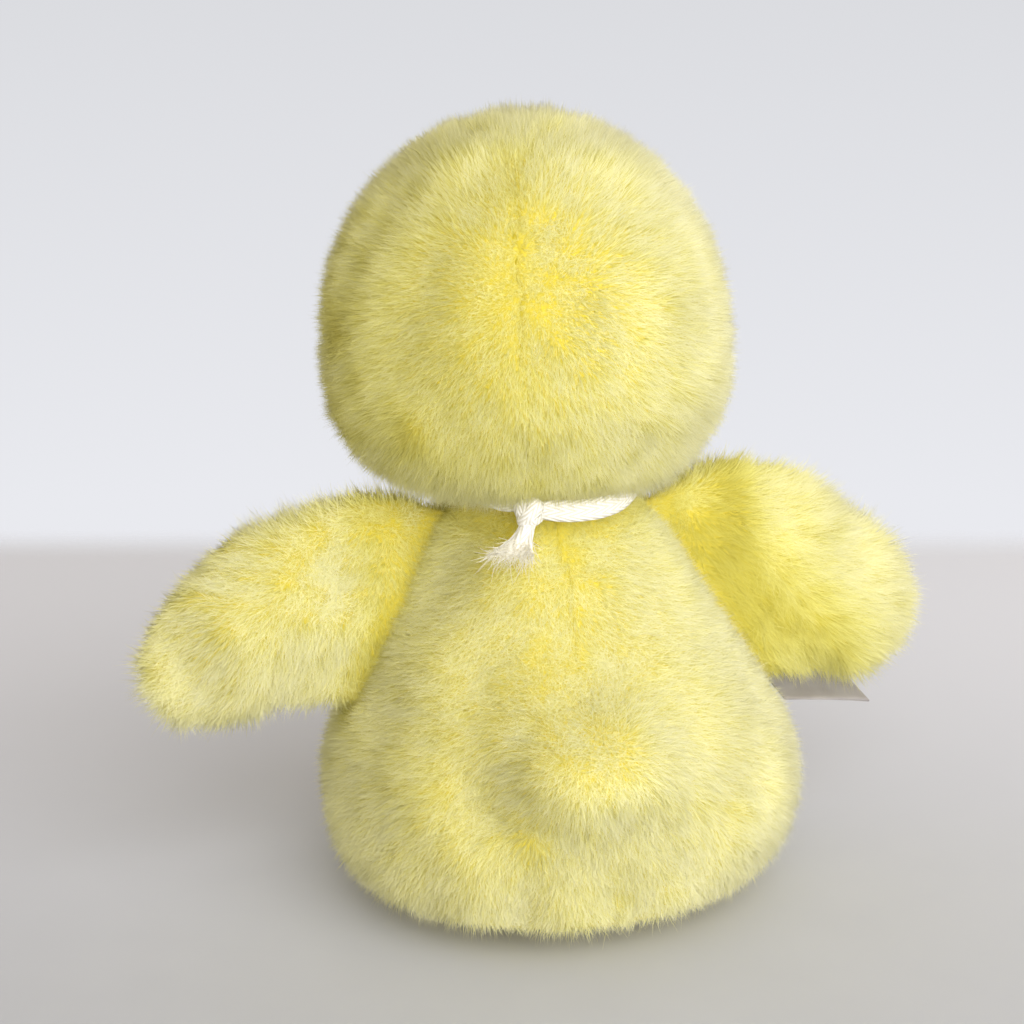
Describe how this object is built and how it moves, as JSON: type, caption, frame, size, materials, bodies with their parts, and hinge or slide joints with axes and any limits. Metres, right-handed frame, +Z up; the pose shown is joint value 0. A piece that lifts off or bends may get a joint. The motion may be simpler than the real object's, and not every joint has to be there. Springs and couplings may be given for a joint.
{
  "type": "plush chick",
  "caption": "Sitting plush chick with a round head on a pear-shaped body, paddle wings, felt beak and feet, a knotted neck tape and a bare side label.",
  "frame": {"origin": "centre of the flat underside that it sits on", "axes": "+Z up, the chick faces -Y, and its left is +X"},
  "size_m": [0.195, 0.1453, 0.1872],
  "materials": {
    "yellow_plush": "soft short pile, pale lemon tips over deeper yellow roots",
    "fibre_stuffing": "loose polyester fibre",
    "orange_felt": "matt felt",
    "black_eye": "polished",
    "white_washer": "moulded",
    "cotton_tape": "white herringbone twill, frayed end",
    "satin_label": "bare satin ribbon"
  },
  "bodies": {
    "torso": {"base_panel": "yellow_plush", "belly_panel": "yellow_plush", "back_panel_left": "yellow_plush", "back_panel_right": "yellow_plush", "body_stuffing": "fibre_stuffing", "tail_cover": "yellow_plush", "tail_stuffing": "fibre_stuffing"},
    "head": {"head_panel_left": "yellow_plush", "head_panel_right": "yellow_plush", "head_gusset": "yellow_plush", "head_stuffing": "fibre_stuffing", "beak_upper": "orange_felt", "beak_lower": "orange_felt", "eye_left": "black_eye", "eye_right": "black_eye", "eye_washer_left": "white_washer", "eye_washer_right": "white_washer"},
    "wing_left": {"wing_left_back_panel": "yellow_plush", "wing_left_front_panel": "yellow_plush", "wing_left_stuffing": "fibre_stuffing"},
    "wing_right": {"wing_right_back_panel": "yellow_plush", "wing_right_front_panel": "yellow_plush", "wing_right_stuffing": "fibre_stuffing"},
    "foot_left": {"foot_left_top": "orange_felt", "foot_left_sole": "orange_felt"},
    "foot_right": {"foot_right_top": "orange_felt", "foot_right_sole": "orange_felt"},
    "tape": {"tape_band": "cotton_tape", "tape_knot": "cotton_tape"},
    "tape_end": {"tape_end": "cotton_tape"},
    "label": {"care_label": "satin_label"}
  },
  "joints": [
    {"name": "head_turn", "type": "hinge", "parent": "torso", "child": "head", "pos_m": [0.00814, 0, 0.1015], "axis": [0, 0, 1], "range_deg": [-18, 42], "stiffness_Nm_per_rad": 0.05},
    {"name": "wing_left_swing", "type": "hinge", "parent": "torso", "child": "wing_left", "pos_m": [0.04788, 0, 0.07078], "axis": [-0.3869, 0, 0.9221], "range_deg": [-45, 45], "stiffness_Nm_per_rad": 0.02},
    {"name": "wing_right_swing", "type": "hinge", "parent": "torso", "child": "wing_right", "pos_m": [-0.03651, 0, 0.07116], "axis": [0.502, 0, 0.8649], "range_deg": [-65, 25], "stiffness_Nm_per_rad": 0.02},
    {"name": "foot_left_lift", "type": "hinge", "parent": "torso", "child": "foot_left", "pos_m": [0.02303, -0.05015, 0.0088], "axis": [-0.9136, -0.4067, 0], "range_deg": [-25, 55], "stiffness_Nm_per_rad": 0.02},
    {"name": "foot_right_lift", "type": "hinge", "parent": "torso", "child": "foot_right", "pos_m": [-0.02162, -0.05015, 0.0088], "axis": [-0.9136, 0.4067, 0], "range_deg": [-25, 55], "stiffness_Nm_per_rad": 0.02},
    {"name": "tape_turn", "type": "hinge", "parent": "torso", "child": "tape", "pos_m": [0.00789, 0, 0.0981], "axis": [0, 0, 1], "range_deg": [-35, 35]},
    {"name": "tape_end_lift", "type": "hinge", "parent": "tape", "child": "tape_end", "pos_m": [0.01649, 0.02812, 0.0981], "axis": [0.9563, -0.2924, 0], "range_deg": [0, 75]},
    {"name": "label_flip", "type": "hinge", "parent": "torso", "child": "label", "pos_m": [-0.05278, -0.00785, 0.03781], "axis": [0.1371, -0.9752, -0.1736], "range_deg": [0, 55], "stiffness_Nm_per_rad": 0.01}
  ]
}
